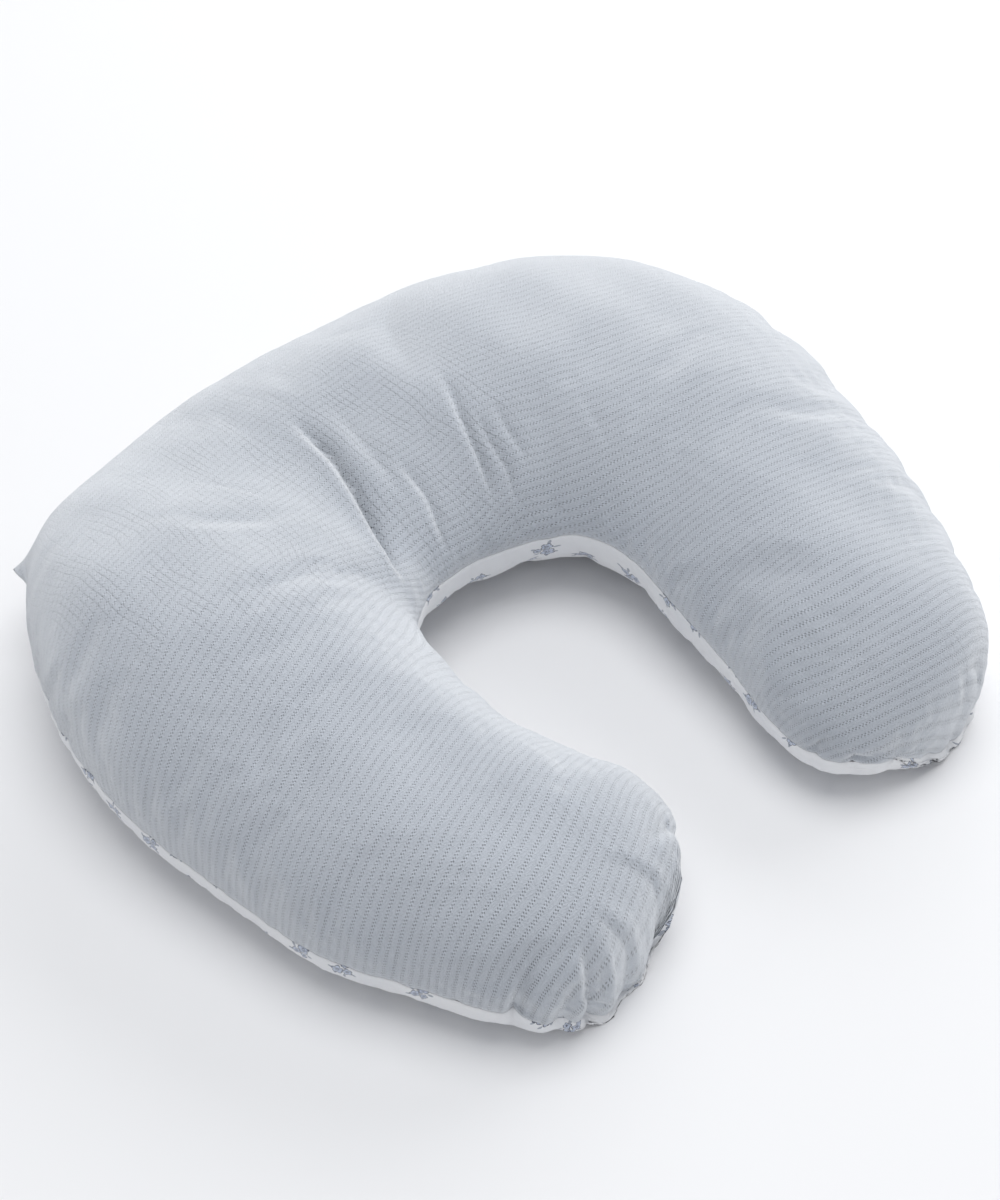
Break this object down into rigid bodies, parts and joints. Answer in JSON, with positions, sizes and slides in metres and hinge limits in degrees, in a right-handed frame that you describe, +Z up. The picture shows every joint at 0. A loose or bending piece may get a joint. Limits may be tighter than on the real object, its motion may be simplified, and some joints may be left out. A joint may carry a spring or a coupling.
{
  "type": "nursing pillow",
  "caption": "C-shaped stuffed nursing pillow that wraps the waist, with a gauze top, printed cotton underside and a zipped removable cover over a sewn liner.",
  "frame": {"origin": "on the floor under the middle of the pillow's bounding box", "axes": "+Z up, the hollow for the waist opens towards -Y, the zip lies on the outside of the back at +Y, X runs from arm to arm"},
  "size_m": [0.65, 0.5877, 0.1514],
  "materials": {
    "gauze": "soft crinkled double gauze, dull blue-grey",
    "print_cotton": "plain-weave white cotton with small scattered sprigs",
    "thread": "spun polyester, matt",
    "gauze_thread": "spun polyester, matt, colour of the top panel",
    "liner_cotton": "plain white nonwoven",
    "fibre": "loose hollow polyester fibre",
    "zip_tape": "woven polyester tape, matt",
    "zip_coil": "polyester monofilament coil",
    "zip_metal": "pressed, satin",
    "zip_lacquer": "lacquered zinc, satin",
    "label": "white satin ribbon, blank"
  },
  "bodies": {
    "pillow": {"cover_top_panel": "gauze", "cover_bottom_panel": "print_cotton", "cover_overlock_thread": "thread", "liner_top_panel": "liner_cotton", "liner_bottom_panel": "liner_cotton", "liner_closing_stitch": "thread", "fibre_filling": "fibre", "zip_tape_upper": "zip_tape", "zip_tape_lower": "zip_tape", "zip_coil_upper": "zip_coil", "zip_coil_lower": "zip_coil", "zip_top_stops": "zip_metal", "zip_bottom_stop": "zip_metal", "zip_topstitching": "gauze_thread", "care_label": "label"},
    "slider": {"zip_slider": "zip_lacquer"},
    "pull": {"zip_pull": "zip_lacquer"}
  },
  "joints": [
    {"name": "zip_slide", "type": "hinge", "parent": "pillow", "child": "slider", "pos_m": [0, -0.265, 0.063], "axis": [0, 0, -1], "range_deg": [0, 38.6]},
    {"name": "pull_swing", "type": "hinge", "parent": "slider", "child": "pull", "pos_m": [-0.18525, 0.264, 0.063], "axis": [0, 0, 1], "range_deg": [0, 165]}
  ]
}
